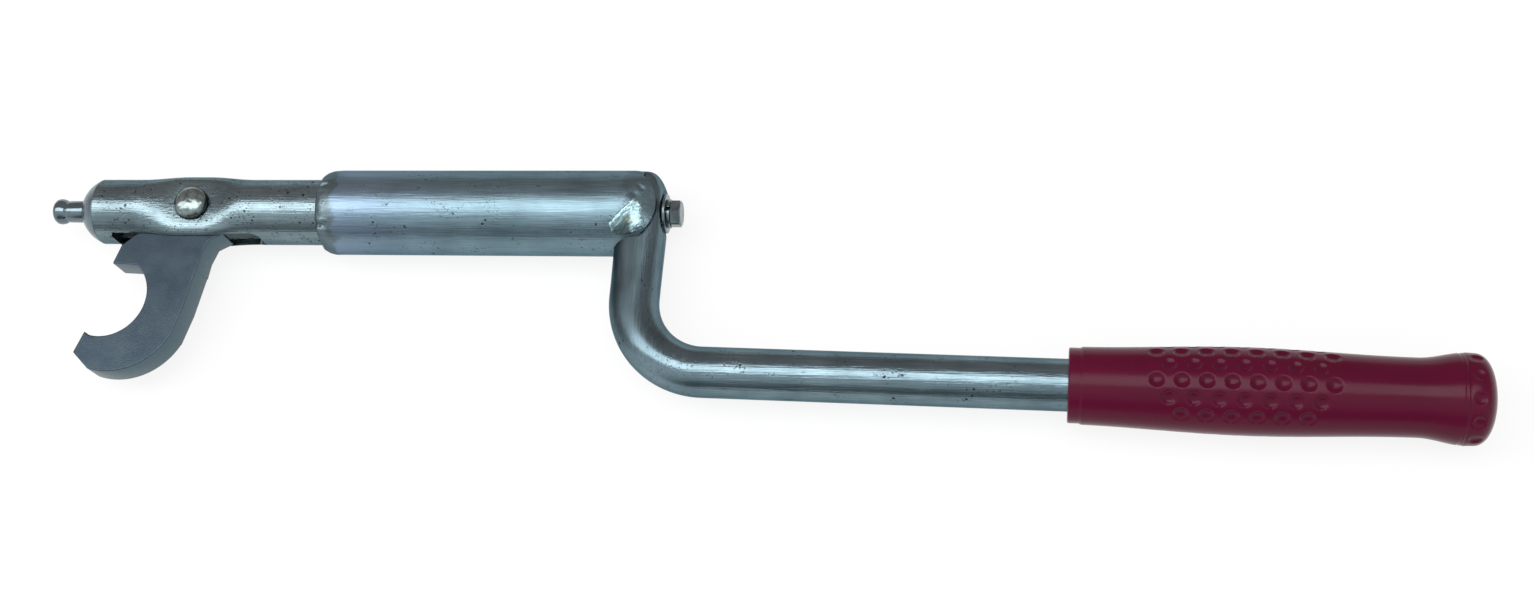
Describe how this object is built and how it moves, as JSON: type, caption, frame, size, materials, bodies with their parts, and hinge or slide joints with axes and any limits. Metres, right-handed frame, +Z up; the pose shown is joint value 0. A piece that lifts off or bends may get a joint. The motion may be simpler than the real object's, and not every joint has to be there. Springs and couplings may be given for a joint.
{
  "type": "hook lever tool",
  "caption": "Cranked hand lever with a swinging hook in a slotted swivel nose, a spigot tip, a tubular barrel and a dimpled vinyl grip, for levering stiff return springs.",
  "frame": {"origin": "under the middle of the tool's bounding box, on the bench it lies on", "axes": "+X along the barrel from the spigot towards the grip, +Y from the handle towards the barrel, +Z up from the bench"},
  "size_m": [0.5794, 0.108, 0.0372],
  "materials": {
    "zinc_tube": "zinc-plated drawn tube, satin",
    "zinc_plate": "zinc-plated cut plate, dull blue-grey",
    "turned_steel": "turned and plated",
    "rivet_steel": "set rivet, plated, bright dome",
    "weld_metal": "plated weld bead, bright and lumpy",
    "bolt_steel": "plated fastener, dull",
    "bush_bronze": "machined bearing bronze",
    "red_vinyl": "dipped vinyl, deep crimson, semi-gloss"
  },
  "bodies": {
    "handle": {"grip": "red_vinyl", "crank_tube": "zinc_tube", "barrel": "zinc_tube", "crank_weld_front": "weld_metal", "crank_weld_back": "weld_metal", "front_bush": "bush_bronze", "rear_bush": "bush_bronze", "end_disc": "turned_steel"},
    "nose": {"nose_tube": "zinc_tube", "nose_cap": "turned_steel", "spigot": "turned_steel", "pivot_rivet": "rivet_steel", "spindle_plug": "turned_steel", "distance_sleeve": "turned_steel", "thrust_washer": "bush_bronze", "flat_washer": "bolt_steel", "spring_washer": "bolt_steel", "rear_bolt": "bolt_steel"},
    "hook": {"hook": "zinc_plate"}
  },
  "joints": [
    {"name": "nose_swivel", "type": "hinge", "parent": "handle", "child": "nose", "pos_m": [-0.22553, 0.03653, 0.01858], "axis": [1, 0, 0], "continuous": true},
    {"name": "hook_pivot", "type": "hinge", "parent": "nose", "child": "hook", "pos_m": [-0.22553, 0.03653, 0.01858], "axis": [0, 0, 1], "range_deg": [-10, 52]}
  ]
}
